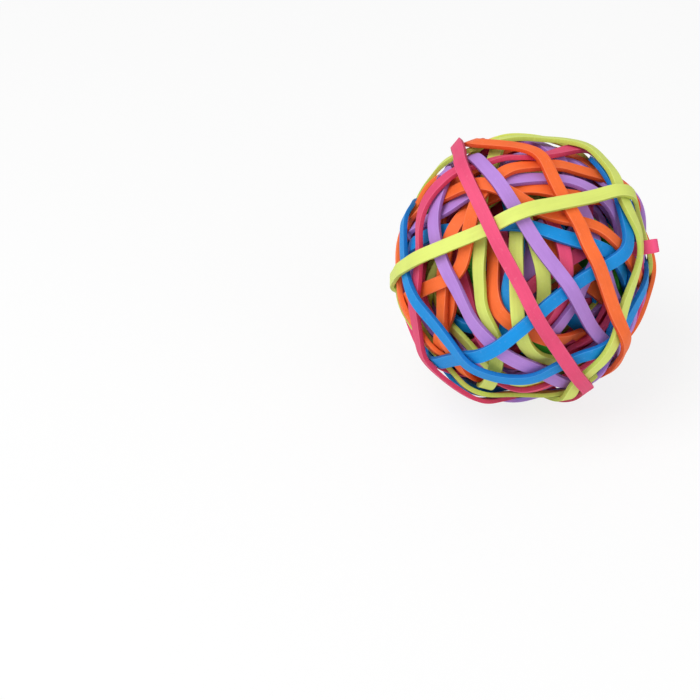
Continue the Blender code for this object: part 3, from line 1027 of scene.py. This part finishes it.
class BALL_OT_wind_lime(bpy.types.Operator):
    """Winds the lime bands"""

    bl_idname = "band_ball.wind_lime"
    bl_label = "Wind lime bands"

    def execute(self, context):
        wind_all("lime")
        return {"FINISHED"}


class BALL_OT_wind_orange(bpy.types.Operator):
    """Winds the orange bands"""

    bl_idname = "band_ball.wind_orange"
    bl_label = "Wind orange bands"

    def execute(self, context):
        wind_all("orange")
        return {"FINISHED"}


class BALL_OT_wind_pink(bpy.types.Operator):
    """Winds the pink bands"""

    bl_idname = "band_ball.wind_pink"
    bl_label = "Wind pink bands"

    def execute(self, context):
        wind_all("pink")
        return {"FINISHED"}


class BALL_OT_wind_blue(bpy.types.Operator):
    """Winds the blue bands"""

    bl_idname = "band_ball.wind_blue"
    bl_label = "Wind blue bands"

    def execute(self, context):
        wind_all("blue")
        return {"FINISHED"}


class BALL_OT_wind_purple(bpy.types.Operator):
    """Winds the purple bands"""

    bl_idname = "band_ball.wind_purple"
    bl_label = "Wind purple bands"

    def execute(self, context):
        wind_all("purple")
        return {"FINISHED"}


class BALL_OT_wind_green(bpy.types.Operator):
    """Winds the green bands"""

    bl_idname = "band_ball.wind_green"
    bl_label = "Wind green bands"

    def execute(self, context):
        wind_all("green")
        return {"FINISHED"}


class BALL_OT_bed_bands(bpy.types.Operator):
    """Beds more bands in the hollows under the outermost ones"""

    bl_idname = "band_ball.bed_bands"
    bl_label = "Bed inner bands"

    def execute(self, context):
        sizes = context.scene.band_sizes
        names = sorted(name for name in frame["nodes"] if name.startswith("band_"))
        cover = Cover(names, sizes.band_width, sizes.band_thickness)
        draw = random.Random(BED_SEED)
        for number, (rubber, normals) in enumerate(bed_choices()):
            path, lift = bedded_way(normals, cover, sizes)
            name = f"bedded_{rubber}_{number + 1}"
            material = bpy.data.materials["rubber_" + rubber]
            band = band_along(name, path, lift, sizes, material, draw.random())
            "rubber_" + rubber
        return {"FINISHED"}


class BALL_OT_fold_end(bpy.types.Operator):
    """Lets the folded end of a pink band stand out at the right"""

    bl_idname = "band_ball.fold_end"
    bl_label = "Fold loose end"

    def execute(self, context):
        sizes = context.scene.band_sizes
        path, lift = fold_way(sizes)
        material = bpy.data.materials["rubber_pink"]
        band = band_along("folded_end_pink", path, lift, sizes, material, FOLD_TONE)
        return {"FINISHED"}


class BALL_OT_finish_core(bpy.types.Operator):
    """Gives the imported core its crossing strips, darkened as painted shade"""

    bl_idname = "band_ball.finish_core"
    bl_label = "Finish packed core"

    def execute(self, context):
        colours = [tuple(getattr(context.scene.band_colours, name)) for name in RUBBERS]
        core = frame["nodes"]["packed_core"]
        core.data.materials.clear()
        core.data.materials.append(core_material("rubber_core", colours))
        return {"FINISHED"}


def floor_material(colour):
    """A pale floor that the camera sees as white but for the ball's soft shadow."""
    material = bpy.data.materials.new("floor")
    material.use_nodes = True
    plan = Plan(material.node_tree)
    spot = plan.node("ShaderNodeTexCoord", {}, {}, "Object")
    speckle = plan.noise(spot, 400.0, 2.0)
    tint = plan.tinted((*colour, 1.0), tuple(0.97 * part for part in colour) + (1.0,), speckle)
    matte = plan.made("ShaderNodeBsdfDiffuse", {}, {"Color": tint})
    glow = plan.made("ShaderNodeEmission", {}, {"Color": (1.0, 1.0, 1.0, 1.0), "Strength": 1.0})
    seen = plan.made("ShaderNodeLightPath", {}, {})
    share = Term(plan, seen.outputs["Is Camera Ray"]) * FLOOR_WHITE
    mixed = plan.made("ShaderNodeMixShader", {}, {0: share})
    plan.tree.links.new(matte.outputs[0], mixed.inputs[1])
    plan.tree.links.new(glow.outputs[0], mixed.inputs[2])
    output = plan.made("ShaderNodeOutputMaterial", {}, {})
    plan.tree.links.new(mixed.outputs[0], output.inputs["Surface"])
    return material


def wide_lamp(name, power, side, place, target):
    """A round soft lamp that looks at the target."""
    light = bpy.data.lights.new(name, "AREA")
    light.energy = power
    light.shape = "DISK"
    light.size = side
    lamp = bpy.data.objects.new(name, light)
    bpy.context.scene.collection.objects.link(lamp)
    lamp.location = place
    lamp.rotation_euler = (target - place).to_track_quat("-Z", "Y").to_euler()
    return lamp


class BALL_OT_set_stage(bpy.types.Operator):
    """Lays the floor, hangs the lamps and sets the camera at the photograph's angle"""

    bl_idname = "band_ball.set_stage"
    bl_label = "Set stage"

    def execute(self, context):
        scene = context.scene
        look = scene.stage_look
        out = Vector((0.0, -math.cos(look.elevation), math.sin(look.elevation)))

        mesh = bpy.data.meshes.new("floor")
        half = FLOOR_HALF
        corners = [(-half, -half, 0.0), (half, -half, 0.0), (half, half, 0.0), (-half, half, 0.0)]
        mesh.from_pydata(corners, [], [(0, 1, 2, 3)])
        mesh.materials.append(floor_material(tuple(look.floor_colour)))
        floor = bpy.data.objects.new("floor", mesh)
        scene.collection.objects.link(floor)

        wide_lamp("key", look.key_power, KEY_SIZE, HUB + KEY_PLACE, HUB)
        wide_lamp("fill", FILL_SHARE * look.key_power, FILL_SIZE, HUB + FILL_PLACE, HUB)

        world = bpy.data.worlds.new("studio")
        world.use_nodes = True
        plan = Plan(world.node_tree)
        path = plan.made("ShaderNodeLightPath", {}, {})
        camera_ray = Term(plan, path.outputs["Is Camera Ray"])
        strength = look.sky_strength + (1.0 - look.sky_strength) * camera_ray
        sky = plan.made(
            "ShaderNodeBackground", {}, {"Color": (1.0, 1.0, 1.0, 1.0), "Strength": strength}
        )
        output = plan.made("ShaderNodeOutputWorld", {}, {})
        plan.tree.links.new(sky.outputs[0], output.inputs["Surface"])
        scene.world = world

        lens = bpy.data.cameras.new("camera")
        lens.lens = look.lens
        lens.sensor_width = 36.0
        lens.clip_start = 0.01
        lens.clip_end = 20.0
        camera = bpy.data.objects.new("camera", lens)
        scene.collection.objects.link(camera)
        reach = look.lens / lens.sensor_width * FRAME_SIDE
        right = (CENTRE_SPOT[0] - FRAME_SIDE / 2) / reach
        up = (FRAME_SIDE / 2 - CENTRE_SPOT[1]) / reach
        seen = Vector((right, up, -1.0)).normalized()
        level = Matrix.Rotation(math.pi / 2 - look.elevation, 3, "X")
        swing = seen.rotation_difference(Vector((0.0, 0.0, -1.0))).to_matrix()
        camera.rotation_euler = (level @ swing).to_euler()
        camera.location = HUB + out * look.distance
        scene.camera = camera
        scene.view_settings.view_transform = "Standard"
        return {"FINISHED"}


WINDERS = ("wind_lime", "wind_orange", "wind_pink", "wind_blue", "wind_purple", "wind_green")
STEPS = WINDERS + ("bed_bands", "fold_end", "finish_core", "set_stage")


class BALL_PT_panel(bpy.types.Panel):
    """The ball's sizes, colours and steps"""

    bl_idname = "BALL_PT_panel"
    bl_label = "Rubber Band Ball"
    bl_space_type = "VIEW_3D"
    bl_region_type = "UI"
    bl_category = "Band Ball"

    def draw(self, context):
        for group in (context.scene.band_sizes, context.scene.band_colours, context.scene.stage_look):
            column = self.layout.column(align=True)
            for key in group.__annotations__:
                column.prop(group, key)
        for step in STEPS:
            self.layout.operator("band_ball." + step)


CLASSES = (
    BandSizes,
    BandColours,
    StageLook,
    BALL_OT_wind_lime,
    BALL_OT_wind_orange,
    BALL_OT_wind_pink,
    BALL_OT_wind_blue,
    BALL_OT_wind_purple,
    BALL_OT_wind_green,
    BALL_OT_bed_bands,
    BALL_OT_fold_end,
    BALL_OT_finish_core,
    BALL_OT_set_stage,
    BALL_PT_panel,
)


def register():
    for item in CLASSES:
        bpy.utils.register_class(item)
    bpy.types.Scene.band_sizes = bpy.props.PointerProperty(type=BandSizes)
    bpy.types.Scene.band_colours = bpy.props.PointerProperty(type=BandColours)
    bpy.types.Scene.stage_look = bpy.props.PointerProperty(type=StageLook)


def unregister():
    del bpy.types.Scene.stage_look
    del bpy.types.Scene.band_colours
    del bpy.types.Scene.band_sizes
    for item in reversed(CLASSES):
        bpy.utils.unregister_class(item)


def main():
    register()
    for step in STEPS:
        getattr(bpy.ops.band_ball, step)()


if __name__ == "__main__":
    main()
